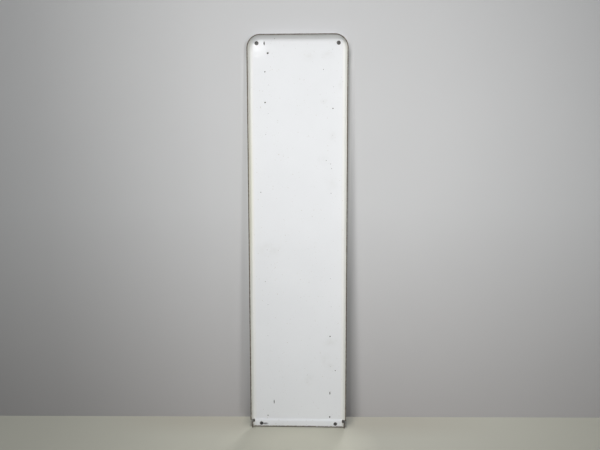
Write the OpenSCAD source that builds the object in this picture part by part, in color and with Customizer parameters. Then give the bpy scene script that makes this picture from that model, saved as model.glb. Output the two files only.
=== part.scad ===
// Enamelled kick plate: a long pan of pressed steel sheet, fired in a dark ground coat and a white
// cover coat on both sides. It has a coved rim along the top and both sides, rounded top corners and a
// stepped strip along the bottom edge, over which a second plate can lap.
// Millimetres, +Z up. The hollow side faces -Y. The origin is midway between the two top fixing holes,
// on the outer face of the steel.

/* [Plate] */
// Overall width across the side rims
plate_w = 200; // [120:1:400]
// Overall height from the bottom edge to the top rim
plate_h = 805; // [300:1:1200]
// Radius of the two rounded top corners, at the outside of the rim
corner_r = 27; // [18:1:50]
// Radius of the cove between the face and the rim, on the hollow side
cove_r = 8; // [5:0.5:16]
// Straight lip of the rim beyond the cove
rim_lip = 2; // [1:0.5:15]

/* [Sheet and enamel] */
// Thickness of the steel sheet
sheet_t = 1; // [0.6:0.1:1.6]
// Thickness of the dark ground coat on each side
ground_t = 0.2; // [0.1:0.05:0.3]
// Thickness of the white cover coat on each side
cover_t = 0.3; // [0.2:0.05:0.5]
// Width of bare steel that the ground coat leaves along a cut edge
ground_back = 0.3; // [0.1:0.1:0.6]
// Width that the cover coat leaves free along a cut edge
cover_back = 0.8; // [0.7:0.1:1.5]

/* [Stepped strip] */
// Height of the flat strip below the step
strip_h = 11.5; // [10:0.5:40]
// Height over which the step is pressed
step_run = 6; // [4:0.5:12]
// Clearance between the strip and a second plate that laps over it
lap_clear = 1; // [0.5:0.1:2]
// Height of the side notch at its root, above the foot of the step
notch_h = 2.5; // [1:0.5:12]
// Extra opening of the side notch at the free edge of the rim
notch_flare = 2.5; // [0.5:0.5:12]
// Part of the cove that runs on past the notch, as an angle from the flat
notch_root = 20; // [10:1:45]

/* [Fixing holes] */
// Diameter of the fixing holes in the steel
hole_d = 6; // [3:0.5:7]
// Flat land between a top hole's enamel and the cove of its corner
top_hole_land = 0.2; // [0.1:0.1:4]
// Direction of the top holes from their corner's centre, above the horizontal
top_hole_angle = 52; // [30:1:60]
// Distance of the bottom holes from the side edges of the flat strip
bottom_hole_inset = 12.5; // [6:0.5:40]
// Distance of the bottom holes below the foot of the step
bottom_hole_drop = 4.5; // [3.8:0.1:5.2]

/* [Hidden] */
$fn = 96;

// Overshoot of a cutting shape past the face that it cuts
over = 1;

// Depths through the wall, measured from the outer white face
skin_t = ground_t + cover_t;
wall_t = sheet_t + 2 * skin_t;
outer_ground_at = cover_t;
steel_at = skin_t;
inner_ground_at = skin_t + sheet_t;
inner_cover_at = inner_ground_at + ground_t;

// Rim: outside radius of the cove, and overall depth of the pan
rim_r = cove_r + wall_t;
rim_d = rim_r + rim_lip;

// The flat face: half width, centres of the top corners and radius of its own corners
flat_half = plate_w / 2 - rim_r;
flat_r = corner_r - rim_r;
corner_x = plate_w / 2 - corner_r;
corner_z = plate_h - corner_r;

// Step of the strip: deep enough for a second plate's wall to lap over it, made of two equal bends
step = wall_t + lap_clear;
bend_r = (step_run ^ 2 + step ^ 2) / (4 * step);
bend_a = 2 * atan(step / step_run);
face_z = strip_h + step_run;

// Fixing holes
hole_r = hole_d / 2;
top_hole_out = flat_r - hole_r - cover_back - top_hole_land;
top_hole_x = corner_x + top_hole_out * cos(top_hole_angle);
top_hole_z = corner_z + top_hole_out * sin(top_hole_angle);
bottom_hole_x = flat_half - bottom_hole_inset;
bottom_hole_z = strip_h - bottom_hole_drop;

// From the pan as drawn, hollow side towards +Y and bottom edge at zero, to the part's own frame
module set_in_frame()
    translate([0, steel_at, -top_hole_z])
        rotate([0, 0, 180])
            children();

// Bent stretch of wall in section: the part of a ring between two directions
module bend(r_in, r_out, from, to) {
    reach = (r_out + over) / cos((to - from) / 4);
    intersection() {
        difference() {
            circle(r_out);
            circle(r_in);
        }
        polygon([
            [0, 0],
            for (a = [from, (from + to) / 2, to])
                reach * [cos(a), sin(a)]
        ]);
    }
}

// Section of a rim layer: x runs outwards from the flat, y is the depth from the outer face
module rim_section(r, d0, d1, back) {
    translate([0, r])
        bend(r - d1, r - d0, 270, 360);
    translate([r - d1, r])
        square([d1 - d0, rim_lip - back]);
}

// Area below one surface of the step: x runs upwards from the strip, y is the depth. The surface is
// two arcs that touch, round the bend at the foot of the step and then round the bend at its head
module under_step(d) {
    foot_r = bend_r - wall_t / 2 + d;
    foot_y = step + d - foot_r;
    head_r = 2 * bend_r - foot_r;
    head_y = d + head_r;
    touch_x = foot_r * sin(bend_a);
    intersection() {
        translate([0, -over])
            square([step_run, step + d + over]);
        union() {
            translate([0, foot_y])
                circle(foot_r);
            translate([0, -over])
                square([foot_r, foot_y + over]);
        }
    }
    difference() {
        translate([touch_x, -over])
            square([step_run - touch_x, head_y + over]);
        translate([step_run, head_y])
            circle(head_r);
    }
}

// Section of a layer through the step
module step_section(d0, d1)
    difference() {
        under_step(d1);
        under_step(d0);
    }

// Sets a section upright, with its x along +Z, and extrudes it across the width
module across(width)
    translate([width / 2, 0, 0])
        rotate([0, -90, 0])
            linear_extrude(width)
                children();

// Outline of the flat face above the step
module face_outline() {
    translate([-flat_half, face_z])
        square([2 * flat_half, corner_z - face_z]);
    translate([-corner_x, corner_z])
        square([2 * corner_x, flat_r]);
    for (side = [-1, 1])
        translate([side * corner_x, corner_z])
            circle(flat_r);
}

// Flat face of one layer
module face_layer(d0, d1)
    translate([0, d1, 0])
        rotate([90, 0, 0])
            linear_extrude(d1 - d0)
                face_outline();

// Rim of one layer up one side
module side_rim(d0, d1, back)
    translate([flat_half, 0, face_z])
        linear_extrude(corner_z - face_z)
            rim_section(rim_r, d0, d1, back);

// Rim of one layer round one top corner
module corner_rim(d0, d1, back)
    translate([corner_x, 0, corner_z])
        rotate([-90, 0, 0])
            rotate([0, 0, -90])
                rotate_extrude(angle = 90)
                    translate([flat_r, 0])
                        rim_section(rim_r, d0, d1, back);

// Rim of one layer along the top
module top_rim(d0, d1, back)
    translate([0, 0, corner_z + flat_r])
        across(2 * corner_x)
            rim_section(rim_r, d0, d1, back);

// Stepped strip of one layer, with the step above it
module strip_layer(d0, d1, back) {
    translate([-flat_half, step + d0, back])
        cube([2 * flat_half, d1 - d0, strip_h - back]);
    translate([0, 0, strip_h])
        across(2 * flat_half)
            step_section(d0, d1);
}

// Step of one layer carried up a side rim: round the cove, then straight along the lip
module step_rim(d0, d1, back) {
    translate([flat_half, rim_r, strip_h])
        rotate([0, 0, -90])
            rotate_extrude(angle = 90)
                translate([rim_r, 0])
                    rotate(90)
                        step_section(d0, d1);
    translate([flat_half + rim_r, rim_d - back, strip_h])
        rotate([90, 0, 0])
            linear_extrude(rim_lip - back)
                rotate(90)
                    step_section(d0, d1);
}

// Side rim of one layer along the strip, set in by the step so that it nests in a lapping plate
module strip_rim(d0, d1, back)
    translate([flat_half, step, back])
        linear_extrude(strip_h - back)
            rim_section(rim_r - step, d0, d1, back);

// Notch in a side rim at the foot of the step, outwards from its root, widened by the bare margin of a
// layer
module notch(back) {
    root = 270 + notch_root - back / (rim_r - step) * 180 / PI;
    reach = rim_r / cos(45);
    top = strip_h + notch_h + back;
    intersection() {
        translate([flat_half, rim_r, strip_h - back])
            linear_extrude(notch_h + notch_flare + 2 * back + over)
                polygon([
                    [0, 0],
                    reach * [cos(root), sin(root)],
                    [reach, -reach],
                    [reach, rim_lip + over],
                    [0, rim_lip + over],
                ]);
        across(plate_w + 2 * over)
            polygon([
                [strip_h - back - over, -reach],
                [top - notch_flare * reach / rim_d, -reach],
                [top + notch_flare * (rim_d + over) / rim_d, rim_d + over],
                [strip_h - back - over, rim_d + over],
            ]);
    }
}

// Bores of the four fixing holes through the whole depth
module hole_bores(r)
    for (side = [-1, 1], at = [[top_hole_x, top_hole_z], [bottom_hole_x, bottom_hole_z]])
        translate([side * at[0], -over, at[1]])
            rotate([-90, 0, 0])
                cylinder(h = rim_d + 2 * over, r = r);

// One layer of the pan between two depths, drawn back from every cut edge
module pan_layer(d0, d1, back)
    set_in_frame()
        difference() {
            union() {
                face_layer(d0, d1);
                top_rim(d0, d1, back);
                strip_layer(d0, d1, back);
                for (side = [0, 1])
                    mirror([side, 0, 0]) {
                        side_rim(d0, d1, back);
                        corner_rim(d0, d1, back);
                        strip_rim(d0, d1, back);
                        step_rim(d0, d1, back);
                    }
            }
            for (side = [0, 1])
                mirror([side, 0, 0])
                    notch(back);
            hole_bores(hole_r + back);
        }

// Pressed steel sheet, bare along its cut edges
module steel_plate()
    color("dimgray")
        pan_layer(steel_at, inner_ground_at, 0);

// Dark ground enamel on the hollow side
module inner_ground_coat()
    color("darkslategray")
        pan_layer(inner_ground_at, inner_cover_at, ground_back);

// Dark ground enamel on the outer side
module outer_ground_coat()
    color("darkslategray")
        pan_layer(outer_ground_at, steel_at, ground_back);

// White cover enamel on the hollow side
module inner_cover_coat()
    color("white")
        pan_layer(inner_cover_at, wall_t, cover_back);

// White cover enamel on the outer side
module outer_cover_coat()
    color("white")
        pan_layer(0, outer_ground_at, cover_back);

steel_plate();
inner_ground_coat();
outer_ground_coat();
inner_cover_coat();
outer_cover_coat();
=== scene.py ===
import math
import random

import bmesh
import bpy
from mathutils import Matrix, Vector, noise


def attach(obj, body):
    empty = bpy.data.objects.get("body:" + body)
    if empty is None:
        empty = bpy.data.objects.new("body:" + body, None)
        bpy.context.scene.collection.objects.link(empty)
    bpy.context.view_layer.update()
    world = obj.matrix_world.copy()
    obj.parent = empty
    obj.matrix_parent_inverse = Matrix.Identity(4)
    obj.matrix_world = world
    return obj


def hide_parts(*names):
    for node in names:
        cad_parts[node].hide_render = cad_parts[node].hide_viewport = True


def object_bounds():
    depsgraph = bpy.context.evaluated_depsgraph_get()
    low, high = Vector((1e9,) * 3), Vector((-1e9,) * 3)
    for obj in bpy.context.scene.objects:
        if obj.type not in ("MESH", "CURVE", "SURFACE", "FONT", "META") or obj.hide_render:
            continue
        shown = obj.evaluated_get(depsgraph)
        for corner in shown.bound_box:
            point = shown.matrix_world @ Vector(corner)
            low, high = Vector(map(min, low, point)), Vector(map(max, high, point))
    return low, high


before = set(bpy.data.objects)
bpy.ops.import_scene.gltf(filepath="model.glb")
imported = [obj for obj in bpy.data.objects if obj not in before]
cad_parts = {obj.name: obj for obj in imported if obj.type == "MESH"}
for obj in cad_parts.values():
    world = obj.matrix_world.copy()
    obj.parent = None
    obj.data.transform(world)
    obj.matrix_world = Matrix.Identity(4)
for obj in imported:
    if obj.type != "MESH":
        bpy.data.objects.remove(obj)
cad_low, cad_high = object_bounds()


# Pressed sheet
# One sheet of 1 mm steel, pressed into a shallow pan: a flat face, a coved rim along the top and both
# sides, rounded top corners and a stepped strip along the foot. Its outer surface is pressed once here,
# and the steel and each coat of enamel are then made from copies of it.
mm = 0.001
hair = 0.01 * mm
sheet_t = 1.0 * mm
ground_t = 0.2 * mm
cover_t = 0.3 * mm
skin_t = ground_t + cover_t
wall_t = sheet_t + 2 * skin_t
cove_r = 8 * mm
rim_lip = 2 * mm
corner_r = 27 * mm
rim_r = cove_r + wall_t
rim_d = rim_r + rim_lip
plate_half = cad_high.x
plate_top = cad_high.z
plate_foot = cad_low.z
outer_y = cad_high.y
flat_half = plate_half - rim_r
strip_h = 11.5 * mm
step_run = 6 * mm
step = wall_t + 1 * mm
bend_r = (step_run ** 2 + step ** 2) / (4 * step)
bend_a = 2 * math.atan(step / step_run)
strip_z = plate_foot + strip_h
face_z = strip_z + step_run
notch_h = 2.5 * mm
notch_flare = 2.5 * mm
notch_root = math.radians(20)
notch_slope = Vector((0, notch_flare, rim_d)).normalized()
upright = (math.radians(90), 0, 0)


def depth_y(depth):
    """Place on the Y axis of a depth measured from the outer white face towards the hollow side."""
    return outer_y - depth


def cove_angle(co):
    """How far round a side cove a point lies, from the flat face on."""
    return math.atan2(abs(co.x) - flat_half, co.y - depth_y(rim_r))


def pick_edges(piece, wanted):
    """In edit mode, selects only the edges whose two ends pass the test."""
    bpy.ops.mesh.select_mode(type="EDGE")
    bpy.ops.mesh.select_all(action="DESELECT")
    shape = bmesh.from_edit_mesh(piece.data)
    for edge in shape.edges:
        edge.select_set(all(wanted(v.co) for v in edge.verts))
    bmesh.update_edit_mesh(piece.data)


def pick_faces(piece, wanted):
    """In edit mode, selects only the faces whose middle passes the test."""
    bpy.ops.mesh.select_mode(type="FACE")
    bpy.ops.mesh.select_all(action="DESELECT")
    shape = bmesh.from_edit_mesh(piece.data)
    for face in shape.faces:
        face.select_set(wanted(face.calc_center_median()))
    bmesh.update_edit_mesh(piece.data)


def cut(place, normal, clear=False):
    """Bisects the whole mesh by a plane, and clears what lies behind it if asked."""
    bpy.ops.mesh.select_all(action="SELECT")
    bpy.ops.mesh.bisect(plane_co=place, plane_no=normal, clear_inner=clear, threshold=hair)


def open_notches(piece, bare):
    """Cuts the notch in both side rims at the foot of the step, widened by a bare margin."""
    root = notch_root - bare / (rim_r - step)
    low = Vector((0, 0, strip_z - bare))
    high = Vector((0, depth_y(0), strip_z + notch_h + bare))
    nearby = 10 * mm

    def on_rim(co):
        return abs(co.z - strip_z) < nearby and cove_angle(co) > root

    for side in (-1, 1):
        pick_faces(piece, lambda co: abs(co.z - strip_z) < nearby and co.x * side > flat_half)
        bpy.ops.mesh.bisect(
            plane_co=(side * flat_half, depth_y(rim_r), 0),
            plane_no=(side * math.cos(root), -math.sin(root), 0),
            threshold=hair,
        )
    for place, normal in ((low, (0, 0, 1)), (high, notch_slope)):
        pick_faces(piece, on_rim)
        bpy.ops.mesh.bisect(plane_co=place, plane_no=normal, threshold=hair)
    pick_faces(
        piece, lambda co: on_rim(co) and co.z > low.z and (co - high).dot(notch_slope) < 0
    )
    bpy.ops.mesh.delete(type="FACE")


def draw_out(moves):
    """Extrudes the selected edges along a chain of moves."""
    for move in moves:
        bpy.ops.mesh.extrude_edges_move(TRANSFORM_OT_translate={"value": move})


def draw_step(piece, drop, sink):
    """Extrudes the selected edges down, and sinks the new ones: straight towards the hollow side on
    the flat, towards the centre of the cove beside it, and sideways on the lip."""
    draw_out([(0, 0, -drop)])
    shape = bmesh.from_edit_mesh(piece.data)
    for vertex in shape.verts:
        if vertex.select:
            centre_x = min(flat_half, max(-flat_half, vertex.co.x))
            centre_y = min(depth_y(rim_r), vertex.co.y)
            towards = Vector((centre_x, centre_y, vertex.co.z)) - vertex.co
            vertex.co += towards.normalized() * sink
    bmesh.update_edit_mesh(piece.data)


def press_surface():
    """The outer surface of the steel, open along its cut edges."""
    half = plate_half - skin_t
    top = plate_top - skin_t
    spare = 30 * mm
    foot = plate_foot - spare
    # The blank, at the free edge of the rim, with its two top corners rounded
    bpy.ops.object.select_all(action="DESELECT")
    bpy.ops.mesh.primitive_plane_add(
        size=1, location=(0, depth_y(rim_d), (top + foot) / 2), rotation=upright
    )
    pan = bpy.context.object
    pan.name = "pressed_surface"
    pan.scale = (2 * half, top - foot, 1)
    bpy.ops.object.transform_apply()
    bpy.ops.object.mode_set(mode="EDIT")
    pick_edges(pan, lambda co: co.z > top - hair)
    corner_bends = 16
    bpy.ops.mesh.bevel(offset=corner_r - skin_t, segments=corner_bends, affect="VERTICES")
    # The lip, then the cove in short bends, down to the flat face and a narrow band of it
    bpy.ops.mesh.select_all(action="SELECT")
    bpy.ops.mesh.extrude_region_move(TRANSFORM_OT_translate={"value": (0, rim_lip, 0)})
    cove_bends = 18
    radius = rim_r - skin_t
    turn = math.pi / 2 / cove_bends
    for k in range(cove_bends):
        inward = radius * (math.cos(k * turn) - math.cos((k + 1) * turn))
        down = radius * (math.sin((k + 1) * turn) - math.sin(k * turn))
        bpy.ops.mesh.inset(thickness=inward, depth=-down)
    flat_band = 1 * mm
    bpy.ops.mesh.inset(thickness=flat_band, depth=0)
    # The blank's own face is left across the rim, and goes
    pick_faces(pan, lambda co: co.y < depth_y(rim_d) + hair)
    bpy.ops.mesh.delete(type="ONLY_FACE")
    # The foot is cut off at the head of the step, and the face and both side rims are drawn down:
    # through the bend at the head of the step, the bend at its foot, and along the strip
    cut((0, 0, face_z), (0, 0, 1), clear=True)
    pick_edges(pan, lambda co: co.z < face_z + hair)
    head_r = bend_r + wall_t / 2 - skin_t
    foot_r = bend_r - wall_t / 2 + skin_t
    step_bends = 8
    turn = bend_a / step_bends
    head_bends = [(head_r, k * turn) for k in range(step_bends)]
    foot_bends = [(foot_r, k * turn) for k in reversed(range(step_bends))]
    for radius, a in head_bends + foot_bends:
        draw_step(
            pan,
            radius * (math.sin(a + turn) - math.sin(a)),
            radius * (math.cos(a) - math.cos(a + turn)),
        )
    strip_lengths = 4
    draw_out([(0, 0, -strip_h / strip_lengths)] * strip_lengths)
    open_notches(pan, 0)
    # Cut lines across the sheet, clear of the rounded corners, so that it can take a little unevenness
    pitch = 5 * mm
    rows = int((plate_top - corner_r - face_z) / pitch)
    columns = int((plate_half - corner_r) / pitch)
    for k in range(1, rows):
        cut((0, 0, face_z + k * pitch), (0, 0, 1))
    for k in range(-columns, columns + 1):
        cut((k * pitch, 0, 0), (1, 0, 0))
    bpy.ops.mesh.select_all(action="SELECT")
    bpy.ops.mesh.remove_doubles(threshold=hair)
    bpy.ops.object.mode_set(mode="OBJECT")
    return pan


pressed = press_surface()


# Unevenness of the sheet
# Thin sheet does not come out of the press and the furnace dead flat: the face dishes a little, always
# towards the hollow side, and fades out before the coves.
dish = 0.2 * mm
dish_scale = 6.5
fade = 14 * mm
for vertex in pressed.data.vertices:
    co = vertex.co
    from_edge = min(flat_half - abs(co.x), plate_top - rim_r - co.z, co.z - face_z)
    if from_edge > 0:
        share = min(1, from_edge / fade)
        eased = share * share * (3 - 2 * share)
        wave = 0.5 + 0.5 * noise.noise(Vector((co.x, 0, co.z)) * dish_scale)
        co.y -= dish * wave * eased


# Steel sheet
# The pressed sheet itself, 1 mm mild steel with four punched holes. It shows only where the enamel does
# not reach: along the free edge of the rim, in the notches, round the holes and in the deepest chips,
# where it has rusted brown.
hole_r = 3 * mm
top_hole = Vector((81.0 * mm, 0, 0))
foot_hole = Vector((77.5 * mm, 0, plate_foot + 7 * mm))
holes = [Vector((side * at.x, 0, at.z)) for at in (top_hole, foot_hole) for side in (-1, 1)]
hole_sides = 48
smooth_angle = math.radians(35)


def pick_piece(piece):
    """Selects one object and nothing else."""
    bpy.ops.object.select_all(action="DESELECT")
    piece.select_set(True)
    bpy.context.view_layer.objects.active = piece


def take_layer(name, above, thick, bare):
    """One closed layer of the pressing, held back from its cut edges, given as its height above the
    steel's outer face towards the hollow side, its thickness, and the bare margin."""
    pick_piece(pressed)
    bpy.ops.object.duplicate()
    layer = bpy.context.object
    layer.name = layer.data.name = name
    bpy.ops.object.mode_set(mode="EDIT")
    if above:
        bpy.ops.mesh.select_all(action="SELECT")
        bpy.ops.transform.shrink_fatten(value=above, use_even_offset=True)
    if bare:
        cut((0, depth_y(rim_d) + bare, 0), (0, 1, 0), clear=True)
        cut((0, 0, plate_foot + bare), (0, 0, 1), clear=True)
        open_notches(layer, bare)
    bpy.ops.object.mode_set(mode="OBJECT")
    solid = layer.modifiers.new("thickness", "SOLIDIFY")
    solid.thickness = thick
    solid.offset = 1
    solid.use_even_offset = True
    bpy.ops.object.modifier_apply(modifier=solid.name)
    return layer


def subtract(piece, cutters):
    """Joins the cutters, takes them out of the piece, and removes them."""
    bpy.ops.object.select_all(action="DESELECT")
    for cutter in cutters:
        cutter.select_set(True)
    bpy.context.view_layer.objects.active = cutters[0]
    bpy.ops.object.join()
    cutter = bpy.context.object
    taken = piece.modifiers.new("cut", "BOOLEAN")
    taken.operation = "DIFFERENCE"
    taken.solver = "EXACT"
    taken.object = cutter
    pick_piece(piece)
    bpy.ops.object.modifier_apply(modifier=taken.name)
    bpy.data.objects.remove(cutter)


def punch(piece, radius):
    """Punches the four fixing holes at a radius."""
    punches = []
    for at in holes:
        bpy.ops.object.select_all(action="DESELECT")
        bpy.ops.mesh.primitive_cylinder_add(
            vertices=hole_sides, radius=radius, depth=4 * rim_d, location=at, rotation=upright
        )
        bpy.ops.object.transform_apply()
        punches.append(bpy.context.object)
    subtract(piece, punches)


def finish_piece(piece, node, material):
    """Smooths a piece, dresses it, and puts it in the frame in place of its CAD node."""
    pick_piece(piece)
    bpy.ops.object.shade_smooth_by_angle(angle=smooth_angle)
    piece.data.materials.clear()
    piece.data.materials.append(material)
    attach(piece, "root")
    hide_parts(node)


def start_material(name):
    """A new material, with its node tree and its shader."""
    material = bpy.data.materials.new(name)
    material.use_nodes = True
    return material, material.node_tree, material.node_tree.nodes["Principled BSDF"]


def set_input(tree, socket, value):
    """Links an input to another node's output, or sets it to a plain value."""
    if isinstance(value, bpy.types.NodeSocket):
        tree.links.new(value, socket)
    else:
        socket.default_value = value


def add_node(tree, kind, **values):
    """Adds a node and sets its inputs, given as sockets to link or plain values, and its options."""
    node = tree.nodes.new(kind)
    for key, value in values.items():
        if key in node.inputs:
            set_input(tree, node.inputs[key], value)
        else:
            setattr(node, key, value)
    return node


def object_place(tree):
    """Coordinates on the piece itself."""
    return add_node(tree, "ShaderNodeTexCoord").outputs["Object"]


def split(tree, place):
    """The X, Y and Z of a place."""
    return add_node(tree, "ShaderNodeSeparateXYZ", Vector=place).outputs


def grain(tree, place, scale, detail, roughness=0.5):
    """A noise on the piece's own coordinates, in cycles to the metre."""
    return add_node(
        tree, "ShaderNodeTexNoise", Vector=place, Scale=scale, Detail=detail, Roughness=roughness
    ).outputs["Fac"]


def shades(tree, value, stops):
    """A colour ramp from a list of places and colours."""
    ramp = add_node(tree, "ShaderNodeValToRGB", Fac=value)
    band = ramp.color_ramp
    while len(band.elements) < len(stops):
        band.elements.new(0.5)
    for element, (place, colour) in zip(band.elements, stops):
        element.position = place
        element.color = (*colour, 1)
    return ramp.outputs["Color"]


def spread(tree, value, ends, results):
    """Maps a value evenly from two ends onto two results, and holds it at a result past its end."""
    made = add_node(tree, "ShaderNodeMapRange", Value=value)
    names = ("From Min", "From Max", "To Min", "To Max")
    for name, limit in zip(names, (*ends, *results)):
        set_input(tree, made.inputs[name], limit)
    return made.outputs["Result"]


def rough_skin(tree, shader, height, strength, distance):
    """A bump from a height, for texture finer than the mesh."""
    bump = add_node(tree, "ShaderNodeBump", Height=height, Strength=strength, Distance=distance)
    tree.links.new(bump.outputs["Normal"], shader.inputs["Normal"])


dark_rust = (0.030, 0.021, 0.015)
brown_rust = (0.085, 0.055, 0.034)
worn_steel = (0.165, 0.130, 0.095)
rusted_steel, tree, shader = start_material("rusted_steel")
place = object_place(tree)
rust = grain(tree, place, scale=260, detail=6, roughness=0.65)
colour = shades(tree, rust, [(0.34, dark_rust), (0.52, brown_rust), (0.70, worn_steel)])
tree.links.new(colour, shader.inputs["Base Color"])
tree.links.new(spread(tree, rust, (0.45, 0.75), (0.05, 0.45)), shader.inputs["Metallic"])
tree.links.new(spread(tree, rust, (0.3, 0.7), (0.85, 0.55)), shader.inputs["Roughness"])
scale_skin = grain(tree, place, scale=900, detail=4)
rough_skin(tree, shader, scale_skin, strength=0.4, distance=0.2 * mm)

steel_sheet = take_layer("steel_sheet", 0, sheet_t, 0)
punch(steel_sheet, hole_r)
finish_piece(steel_sheet, "steel_plate", rusted_steel)


# Ground coats
# A thin dark glass fired on to both sides of the steel first, because white enamel will not hold on bare
# steel. It stops just short of the cut edges, and shows as a dark line beside the white and in its chips.
ground_bare = 0.3 * mm
ground_black = (0.016, 0.017, 0.019)
ground_brown = (0.052, 0.047, 0.042)
ground_rust = (0.110, 0.060, 0.030)


def over(tree, share, under, top):
    """Lays a plain colour, or one from a node, over another by a share."""
    mix = tree.nodes.new("ShaderNodeMix")
    mix.data_type = "RGBA"
    tree.links.new(share, mix.inputs["Factor"])
    tree.links.new(under, mix.inputs[6])
    set_input(tree, mix.inputs[7], (*top, 1) if isinstance(top, tuple) else top)
    return mix.outputs[2]


ground_enamel, tree, shader = start_material("ground_enamel")
place = object_place(tree)
cloud = grain(tree, place, scale=180, detail=4, roughness=0.6)
rust = grain(tree, place, scale=420, detail=4, roughness=0.6)
dark = shades(tree, cloud, [(0.35, ground_black), (0.68, ground_brown)])
colour = over(tree, spread(tree, rust, (0.52, 0.68), (0, 0.75)), dark, ground_rust)
tree.links.new(colour, shader.inputs["Base Color"])
tree.links.new(spread(tree, cloud, (0.3, 0.7), (0.28, 0.55)), shader.inputs["Roughness"])
orange_peel = grain(tree, place, scale=1200, detail=3)
rough_skin(tree, shader, orange_peel, strength=0.2, distance=0.1 * mm)

inner_ground = take_layer("inner_ground", sheet_t, ground_t, ground_bare)
punch(inner_ground, hole_r + ground_bare)
outer_ground = take_layer("outer_ground", -ground_t, ground_t, ground_bare)
punch(outer_ground, hole_r + ground_bare)
finish_piece(inner_ground, "inner_ground_coat", ground_enamel)
finish_piece(outer_ground, "outer_ground_coat", ground_enamel)


# White coat on the hollow side
# The white glass that the hollow side shows, dipped or sprayed on and fired. It draws back from every cut
# edge, has chipped and rusted brown along the rim, and is pitted in two columns, perhaps where the plate
# stood on pins in the furnace.
cover_bare = 0.8 * mm
cool_white = (0.790, 0.798, 0.822)
bright_white = (0.808, 0.816, 0.840)
cream = (0.800, 0.775, 0.670)
deep_cream = (0.800, 0.750, 0.560)
stain_grey = (0.42, 0.41, 0.35)
smear_grey = (0.13, 0.125, 0.135)
speck_brown = (0.40, 0.34, 0.26)
rust_stops = [
    (0.34, (0.115, 0.080, 0.050)),
    (0.50, (0.200, 0.165, 0.105)),
    (0.66, (0.290, 0.255, 0.175)),
]


def combine(tree, operation, first, second):
    """One number from two, by one of the operations of a Math node."""
    made = tree.nodes.new("ShaderNodeMath")
    made.operation = operation
    tree.links.new(first, made.inputs[0])
    set_input(tree, made.inputs[1], second)
    return made.outputs[0]


def times(tree, first, second):
    """The product of two numbers."""
    return combine(tree, "MULTIPLY", first, second)


def larger(tree, first, second):
    """The larger of two numbers."""
    return combine(tree, "MAXIMUM", first, second)


def without_sign(tree, value):
    """A number without its sign."""
    made = tree.nodes.new("ShaderNodeMath")
    made.operation = "ABSOLUTE"
    tree.links.new(value, made.inputs[0])
    return made.outputs[0]


def spot(tree, place, centre, reach, core):
    """One at a centre and nought at the edge of an ellipsoid; the core is the share that is full."""
    inside = add_node(
        tree,
        "ShaderNodeMapping",
        vector_type="TEXTURE",
        Vector=place,
        Location=centre,
        Scale=reach,
    )
    length = tree.nodes.new("ShaderNodeVectorMath")
    length.operation = "LENGTH"
    tree.links.new(inside.outputs[0], length.inputs[0])
    return spread(tree, length.outputs["Value"], (core, 1), (1, 0))


def spots(tree, place, places, core):
    """The largest of a list of spots."""
    found = None
    for centre, reach in places:
        made = spot(tree, place, centre, reach, core)
        found = made if found is None else larger(tree, found, made)
    return found


def face_point(across, up, depth):
    """A point given in millimetres across from the middle and up from the foot, at a depth."""
    return (across * mm, depth_y(depth), plate_foot + up * mm)


white_enamel, tree, shader = start_material("white_enamel")
place = object_place(tree)
axes = split(tree, place)
cloud = grain(tree, place, scale=9, detail=3, roughness=0.55)
blotch = grain(tree, place, scale=240, detail=4, roughness=0.6)
smudge = grain(tree, place, scale=70, detail=4, roughness=0.6)
white = shades(tree, cloud, [(0.36, cool_white), (0.64, bright_white)])
# Cream-tinted where the coves turn up along the sides, and most along the left one
off_middle = without_sign(tree, axes["X"])
cove_cream = spread(tree, off_middle, (flat_half - 3 * mm, plate_half - 3 * mm), (0, 0.55))
white = over(tree, cove_cream, white, cream)
left_cove = face_point(-97, 500, rim_d / 2)
creamy = spot(tree, place, left_cove, (9 * mm, 12 * mm, 230 * mm), 0.4)
white = over(tree, times(tree, creamy, 0.36), white, deep_cream)
# Old stains on the face, faint and soft, each with its place and its half width and height in millimetres
stains = [
    ((22, 763), (22, 14)), ((58, 765), (16, 12)), ((85, 706), (7, 16)), ((52, 675), (12, 7)),
    ((69, 606), (10, 14)), ((50, 560), (14, 14)), ((68, 512), (16, 18)), ((-58, 376), (34, 20)),
    ((66, 182), (20, 16)), ((56, 147), (14, 18)), ((68, 131), (14, 10)), ((22, 100), (12, 16)),
]
stain_depth = 1.5 * mm
stained = spots(
    tree,
    place,
    [
        (face_point(*at, wall_t), (wide * mm, stain_depth, high * mm))
        for at, (wide, high) in stains
    ],
    0.1,
)
stained = times(tree, stained, spread(tree, smudge, (0.38, 0.66), (0.01, 0.13)))
white = over(tree, stained, white, stain_grey)
# A grey smear beside one of the lower holes
smear_at = face_point(-70, 6.3, wall_t + step)
smear = spot(tree, place, smear_at, (8.5 * mm, 1.2 * mm, 3 * mm), 0.3)
smear = times(tree, smear, spread(tree, blotch, (0.35, 0.6), (0.6, 0.95)))
white = over(tree, smear, white, smear_grey)
# Rust that has crept over the enamel from the cut edges: the rim, the foot, the holes and the notches. On
# the rim it reaches deeper towards the foot of the plate. That deeper reach and the brown along the foot
# are partly painted shade, for the dark gap beside the lower rim and under the foot.
creep_full = depth_y(rim_d - 1.3 * mm)
creep_ends = (depth_y(rim_d - 6.5 * mm), depth_y(rim_d - 3.2 * mm))
rust_and_shade_reach = spread(tree, axes["Z"], (plate_foot, -250 * mm), creep_ends)
rim_rust_and_shade = spread(tree, axes["Y"], (rust_and_shade_reach, creep_full), (0, 1))
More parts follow.
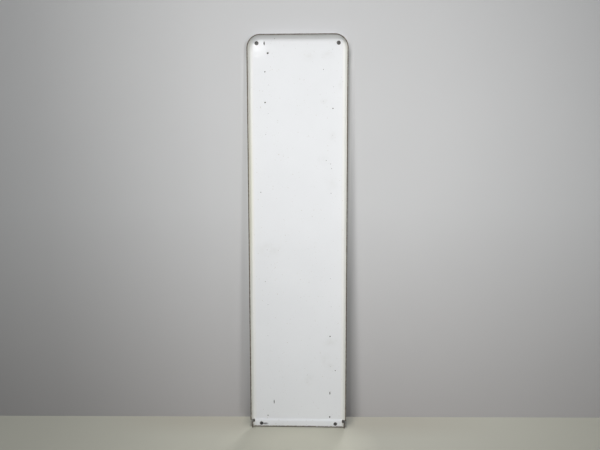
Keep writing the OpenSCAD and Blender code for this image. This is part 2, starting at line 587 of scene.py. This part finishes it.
# Along the foot: rust, and painted shade for the dark gap under it
foot_rust_and_shade = spread(tree, axes["Z"], (plate_foot + 1.4 * mm, plate_foot + 3.4 * mm), (1, 0))
hole_edge = hole_r + cover_bare
hole_fade = 0.8 * mm
hole_reach = [hole_edge + hole_fade] * 3
edge_holes = spots(
    tree,
    place,
    [((at.x, depth_y(wall_t), at.z), hole_reach) for at in holes],
    (hole_edge - hole_fade) / (hole_edge + hole_fade),
)
notch_reach = (3.2 * mm, 4 * mm, 3.6 * mm)
notch_ends = [(side * 94 * mm, depth_y(5 * mm), strip_z - 0.5 * mm) for side in (-1, 1)]
edge_notches = spots(tree, place, [(at, notch_reach) for at in notch_ends], 0.4)
edges = larger(tree, larger(tree, rim_rust_and_shade, foot_rust_and_shade), larger(tree, edge_holes, edge_notches))
rust_and_shade = times(tree, edges, spread(tree, blotch, (0.34, 0.56), (0.25, 0.95)))
white = over(tree, rust_and_shade, white, shades(tree, smudge, rust_stops))
specks = grain(tree, place, scale=330, detail=1)
white = over(tree, spread(tree, specks, (0.74, 0.80), (0, 0.45)), white, speck_brown)
tree.links.new(white, shader.inputs["Base Color"])
# Glossy, but dulled by the rust and where the coves are cream-tinted
glaze = spread(tree, grain(tree, place, scale=40, detail=3), (0.3, 0.7), (0.07, 0.13))
dulled = larger(
    tree, spread(tree, rust_and_shade, (0, 1), (0, 0.75)), spread(tree, cove_cream, (0, 0.3), (0, 0.45))
)
tree.links.new(larger(tree, glaze, dulled), shader.inputs["Roughness"])
ripple = grain(tree, place, scale=150, detail=1)
rough_skin(tree, shader, ripple, strength=0.05, distance=1 * mm)


def ragged(piece, centre, chance):
    """Moves each point of a cutter towards or away from its centre."""
    nearest, furthest = 0.72, 1.25
    for vertex in piece.data.vertices:
        away = chance.uniform(nearest, furthest)
        vertex.co = centre + (vertex.co - centre) * away


def rim_chips(seed):
    """Ragged punches across the free edge of the rim, spread along both sides and the top."""
    chance = random.Random(seed)
    made = []
    side_margin = 20 * mm
    side_low = face_z + side_margin
    side_run = plate_top - corner_r - side_margin - side_low
    side_middle = plate_half - wall_t / 2
    side_count = 15
    top_margin = 10 * mm
    top_half = plate_half - corner_r - top_margin
    top_middle = plate_top - wall_t / 2
    top_count = 4
    first, last = 0.2, 0.8
    smallest, largest = 0.7, 2.3
    chip_sides = 11
    chip_y = depth_y(rim_d - cover_bare) - 0.2 * mm
    chips = []
    for side in (-1, 1):
        for k in range(side_count):
            at = side_low + side_run * (k + chance.uniform(first, last)) / side_count
            chips.append((side * side_middle, at, (0, math.radians(90), 0)))
    for k in range(top_count):
        at = top_half * (2 * (k + chance.uniform(first, last)) / top_count - 1)
        chips.append((at, top_middle, (0, 0, 0)))
    for x, z, turn in chips:
        size = chance.uniform(smallest, largest) * mm
        centre = Vector((x, chip_y, z))
        bpy.ops.object.select_all(action="DESELECT")
        bpy.ops.mesh.primitive_cylinder_add(
            vertices=chip_sides, radius=size, depth=2 * wall_t, location=centre, rotation=turn
        )
        bpy.ops.object.transform_apply()
        ragged(bpy.context.object, centre, chance)
        made.append(bpy.context.object)
    return made


def pits(places, width, height, face_depth):
    """Blunt uneven cones, wider on the hollow side, at places given in millimetres across from the
    middle and up from the foot."""
    chance = random.Random(len(places) + int(width * 1e6))
    made = []
    smallest, largest = 0.85, 1.15
    narrow_end, wide_end = 0.75, 1.35
    pit_sides = 12
    pit_depth = 1.6 * mm
    for across, up in places:
        size = chance.uniform(smallest, largest)
        centre = face_point(across, up, face_depth)
        bpy.ops.object.select_all(action="DESELECT")
        bpy.ops.mesh.primitive_cone_add(
            vertices=pit_sides,
            radius1=narrow_end * size,
            radius2=wide_end * size,
            depth=pit_depth,
            location=centre,
            rotation=upright,
            scale=(width, height, 1),
        )
        bpy.ops.object.transform_apply()
        ragged(bpy.context.object, Vector(centre), chance)
        made.append(bpy.context.object)
    return made


# Round pits by their radius in millimetres, from the largest to the faintest
round_pits = [
    (2.0, [(-59, 769)]),
    (1.5, [(66, 195), (66, 21), (-65, 673)]),
    (1.15, [(-65, 733), (-64, 23), (70, 661), (77, 122)]),
    (0.75, [(-75, 494), (51, 737), (57, 558), (66, 551), (67, 492)]),
    (
        0.55,
        [
            (-58, 707), (-59, 651), (-64, 610), (-63, 376), (-67, 310), (-62, 262), (-63, 196),
            (71, 703), (68, 542),
        ],
    ),
    (
        0.42,
        [
            (-64, 135), (-58, 83), (69, 776), (51, 675), (70, 608), (66, 317), (68, 258),
            (67, 131), (19, 112),
        ],
    ),
]
# Upright ticks, and one pit in the top cove, by their half width and height in millimetres
ticks = [((-66, 788), 1.3, 4.0), ((-51, 53), 0.9, 4.4), ((66, 73), 1.1, 3.4)]
cove_pit, cove_pit_wide, cove_pit_high = (-45, 797), 0.8, 0.6
cove_pit_depth = wall_t + 0.5 * mm
inner_chip_seed = 3

inner_white = take_layer("inner_white", sheet_t + ground_t, cover_t, cover_bare)
punch(inner_white, hole_r + cover_bare)
cutters = []
for radius, places in round_pits:
    cutters += pits(places, radius * mm, radius * mm, wall_t)
for at, wide, high in ticks:
    cutters += pits([at], wide * mm, high * mm, wall_t)
cutters += pits([cove_pit], cove_pit_wide * mm, cove_pit_high * mm, cove_pit_depth)
subtract(inner_white, cutters + rim_chips(inner_chip_seed))
finish_piece(inner_white, "inner_cover_coat", white_enamel)


# White coat on the outer side
# The same white glass on the side away from the viewer, dipped or sprayed on with the inner coat and
# fired with it. It is left quite plain, with only its rim chipped.
outer_chip_seed = 8
outer_white = take_layer("outer_white", -skin_t, cover_t, cover_bare)
punch(outer_white, hole_r + cover_bare)
subtract(outer_white, rim_chips(outer_chip_seed))
finish_piece(outer_white, "outer_cover_coat", white_enamel)
bpy.data.objects.remove(pressed)


# Floor and backdrop
# A pale floor and a pale upright board, square to each other. The plate stands on the floor and leans
# back on the board by about three degrees, so both are tilted by that against the plate, and the board
# is turned a little. Soft shades are painted on both round the plate. The board shows from its front.
lean = math.radians(2.9)
yaw = math.radians(1.25)
stage_size = 8
stage_roughness = 0.6
floor_paint = (0.50, 0.484, 0.404)
lit_floor = (0.62, 0.60, 0.495)
warm_floor_shade = (0.16, 0.06, 0.01)
board_paint = (0.555, 0.555, 0.565)
warm_board_shade = (0.20, 0.15, 0.14)
lit_board = (0.86, 0.86, 0.87)
shadow = (0.02, 0.02, 0.02)
hole_shadow = (0.17, 0.17, 0.17)
far_left = (-520 * mm, -180 * mm)


def stage_plane(name, place, turn, paint):
    """A large plane in one paint, a little cloudy, with its node tree, its shader and its colour."""
    bpy.ops.object.select_all(action="DESELECT")
    bpy.ops.mesh.primitive_plane_add(size=stage_size, location=place, rotation=turn)
    bpy.ops.object.transform_apply()
    plane = bpy.context.object
    plane.name = name
    material, tree, shader = start_material(name + "_paint")
    cloud = grain(tree, object_place(tree), scale=3, detail=3)
    cloudy = [c * 1.03 for c in paint]
    colour = shades(tree, cloud, [(0.3, paint), (0.7, cloudy)])
    shader.inputs["Roughness"].default_value = stage_roughness
    plane.data.materials.append(material)
    return plane, tree, shader, colour


floor_place = (0, depth_y(step + skin_t), plate_foot - hair)
_, tree, shader, colour = stage_plane("floor", floor_place, (lean, 0, 0), floor_paint)
place = object_place(tree)
axes = split(tree, place)
off_middle = without_sign(tree, axes["X"])
# Painted shade to the right of the plate and far to the left of it, and a painted pool of light in front
# of it
colour = over(tree, spread(tree, axes["X"], (40 * mm, 160 * mm), (0, 0.14)), colour, shadow)
colour = over(tree, spread(tree, axes["X"], far_left, (0.15, 0)), colour, shadow)
front = (0, -80 * mm, plate_foot)
in_front = spot(tree, place, front, (170 * mm, 120 * mm, 50 * mm), 0.3)
colour = over(tree, times(tree, in_front, 0.8), colour, lit_floor)
# A painted warm shade along the board on both sides of the plate
along_board = spread(tree, axes["Y"], (-50 * mm, 10 * mm), (0, 0.13))
along_board = times(tree, along_board, spread(tree, axes["Y"], (60 * mm, 120 * mm), (1, 0)))
along_board = times(tree, along_board, spread(tree, off_middle, (95 * mm, 125 * mm), (0, 1)))
along_board = times(tree, along_board, spread(tree, off_middle, (250 * mm, 420 * mm), (1, 0)))
colour = over(tree, along_board, colour, warm_floor_shade)
# Painted shade: dark under the plate's foot, and shaded just beside it
under = spread(tree, off_middle, (96 * mm, 104 * mm), (1, 0))
under = times(tree, under, spread(tree, axes["Y"], (-7 * mm, -4 * mm), (0, 1)))
under = times(tree, under, spread(tree, axes["Y"], (24 * mm, 38 * mm), (1, 0)))
colour = over(tree, times(tree, under, 0.95), colour, shadow)
near_foot = spread(tree, off_middle, (101 * mm, 122 * mm), (0.38, 0))
near_foot = times(tree, near_foot, spread(tree, axes["Y"], (-15 * mm, 15 * mm), (0, 1)))
colour = over(tree, near_foot, colour, shadow)
tree.links.new(colour, shader.inputs["Base Color"])

board_place = (0, outer_y + 2.1 * mm, plate_top - rim_r)
board_turn = (math.radians(90) + lean, 0, yaw)
board, tree, shader, colour = stage_plane("board", board_place, board_turn, board_paint)
axes = split(tree, object_place(tree))
off_middle = without_sign(tree, axes["X"])
mid_z = -380 * mm


def by_height(foot, top, end=plate_top):
    """A length or share that runs evenly from the plate's foot to a height, and stays there."""
    return spread(tree, axes["Z"], (plate_foot, end), (foot, top))


def beside(side, near, far, deep):
    """Painted shade or light to one side of the plate, full up to the near distance and gone at the far
    one.
    """
    out = times(tree, axes["X"], side)
    shade = spread(tree, out, (near, far), (deep, 0))
    return times(tree, shade, spread(tree, out, (0, flat_half), (0, 1)))


def below_top(whole, gone):
    """One up to a distance below the plate's top, and nought from a nearer one."""
    return spread(tree, axes["Z"], (plate_top - whole, plate_top - gone), (1, 0))


# Painted shade: darker towards the foot and far to the left
colour = over(tree, by_height(0.29, 0, -330 * mm), colour, warm_board_shade)
colour = over(tree, spread(tree, axes["X"], far_left, (0.15, 0)), colour, shadow)
# The plate's painted soft shadows: a narrow and a wide one on the right, and one at the foot on the left
shade_bands = [
    beside(
        1,
        by_height(109.5 * mm, 102.5 * mm),
        by_height(114 * mm, 106 * mm),
        by_height(0.20, 0),
    ),
    beside(
        1,
        by_height(101 * mm, 100.5 * mm),
        by_height(136 * mm, 110 * mm),
        by_height(0.38, 0.05),
    ),
    beside(
        -1,
        by_height(104 * mm, 101.5 * mm),
        by_height(121 * mm, 108 * mm),
        by_height(0.34, 0, mid_z),
    ),
]
shade_end = below_top(24 * mm, 6 * mm)
for band in shade_bands:
    colour = over(tree, times(tree, band, shade_end), colour, shadow)
# Painted light that the plate's sides throw on to the board, more of it higher up
right_glow = times(
    tree,
    spread(tree, off_middle, (101.5 * mm, 105 * mm), (0, 0.65)),
    spread(tree, axes["Z"], (-500 * mm, -200 * mm), (0, 1)),
)
glow_bands = [
    beside(1, 106 * mm, 113 * mm, right_glow),
    beside(
        -1,
        by_height(106 * mm, 101 * mm),
        by_height(122 * mm, 114 * mm),
        by_height(0.05, 0.4, mid_z),
    ),
]
glow_end = below_top(60 * mm, 20 * mm)
for band in glow_bands:
    colour = over(tree, times(tree, band, glow_end), colour, lit_board)
# Painted shade: dark behind the plate, where little light gets in, and grey behind its top holes
behind = spread(tree, off_middle, (96 * mm, by_height(102 * mm, 100.5 * mm)), (1, 0))
behind = times(tree, behind, below_top(60 * mm, 25 * mm))
colour = over(tree, behind, colour, shadow)
behind_holes = spread(tree, off_middle, (86 * mm, 90 * mm), (1, 0))
behind_holes = times(tree, behind_holes, below_top(10 * mm, 6 * mm))
from_below = spread(tree, axes["Z"], (plate_top - 60 * mm, plate_top - 40 * mm), (0, 1))
colour = over(tree, times(tree, behind_holes, from_below), colour, hole_shadow)
tree.links.new(colour, shader.inputs["Base Color"])


def mix_shaders(tree, share, first, second, output):
    """Shows the second shader by a share, and the first by the rest."""
    mix = tree.nodes.new("ShaderNodeMixShader")
    tree.links.new(share, mix.inputs[0])
    tree.links.new(first.outputs[0], mix.inputs[1])
    tree.links.new(second.outputs[0], mix.inputs[2])
    tree.links.new(mix.outputs[0], tree.nodes[output].inputs["Surface"])


unseen = tree.nodes.new("ShaderNodeBsdfTransparent")
back_side = tree.nodes.new("ShaderNodeNewGeometry").outputs["Backfacing"]
mix_shaders(tree, back_side, shader, unseen, "Material Output")
board.visible_diffuse = False
board.visible_shadow = False
board.visible_transmission = False


# Light
# Two soft lamps in front on the left, one high and one lower, and a very small one below them for the
# hot spot in the glaze. One low on the right stands for light thrown back by the floor, one behind lights
# the outer side, and a pale sky lights the rest.
lamp_colour = (1, 0.995, 0.98)
sky_colour = (0.92, 0.96, 1, 1)
backdrop_colour = (0.60, 0.605, 0.61, 1)
horizon_strength = 0.16
zenith_strength = 0.70


def soft_lamp(name, place, aim, radius, cone, power):
    """A round lamp aimed at a point, with a cone in degrees that fades out to its edge."""
    bpy.ops.object.light_add(type="SPOT", location=place)
    lamp = bpy.context.object
    lamp.name = name
    lamp.rotation_euler = (Vector(aim) - Vector(place)).to_track_quat("-Z", "Y").to_euler()
    lamp.data.shadow_soft_size = radius
    lamp.data.spot_size = math.radians(cone)
    lamp.data.spot_blend = 1
    lamp.data.energy = power
    lamp.data.color = lamp_colour


front_aim = (0.08, 0, -0.15)
soft_lamp("front_lamp", (-0.7, -1.75, 1.5), front_aim, radius=0.6, cone=28, power=230)
soft_lamp("side_lamp", (-0.75, -2.0, 0.55), front_aim, radius=0.4, cone=37, power=47)
soft_lamp("glint_lamp", (-0.275, -1.97, 0.25), (0, 0, -0.05), radius=0.03, cone=30, power=0.4)
soft_lamp("low_lamp", (1.6, -3.0, -0.35), (0, 0, -0.16), radius=0.42, cone=32, power=133)
soft_lamp("back_lamp", (0.6, 2.0, 0.9), (0, 0, -0.4), radius=0.5, cone=36, power=90)
sky = bpy.data.worlds.new("sky")
sky.use_nodes = True
bpy.context.scene.world = sky
tree = sky.node_tree
lit = tree.nodes["Background"]
lit.inputs["Color"].default_value = sky_colour
up = split(tree, add_node(tree, "ShaderNodeTexCoord").outputs["Generated"])["Z"]
strength = spread(tree, up, (0, 1), (horizon_strength, zenith_strength))
tree.links.new(strength, lit.inputs["Strength"])
seen = add_node(tree, "ShaderNodeBackground", Color=backdrop_colour, Strength=1)
path = tree.nodes.new("ShaderNodeLightPath")
eyes = path.outputs["Is Camera Ray"]
for ray in ("Is Glossy Ray", "Is Transmission Ray"):
    eyes = larger(tree, eyes, path.outputs[ray])
mix_shaders(tree, eyes, lit, seen, "World Output")


# Camera
# At the height of the plate's upper half, 1.4 m in front of it and a little to its right, turned down.
eye = (56.1 * mm, -1391.3 * mm, -186.1 * mm)
eye_turn = (82.841, 0.112, 2.126)
image_width = 600
focal_pixels = 690
bpy.ops.object.camera_add(location=eye, rotation=[math.radians(a) for a in eye_turn])
camera = bpy.context.object
camera.data.sensor_width = 36
camera.data.lens = focal_pixels / image_width * camera.data.sensor_width
bpy.context.scene.camera = camera
bpy.context.scene.view_settings.view_transform = "Standard"
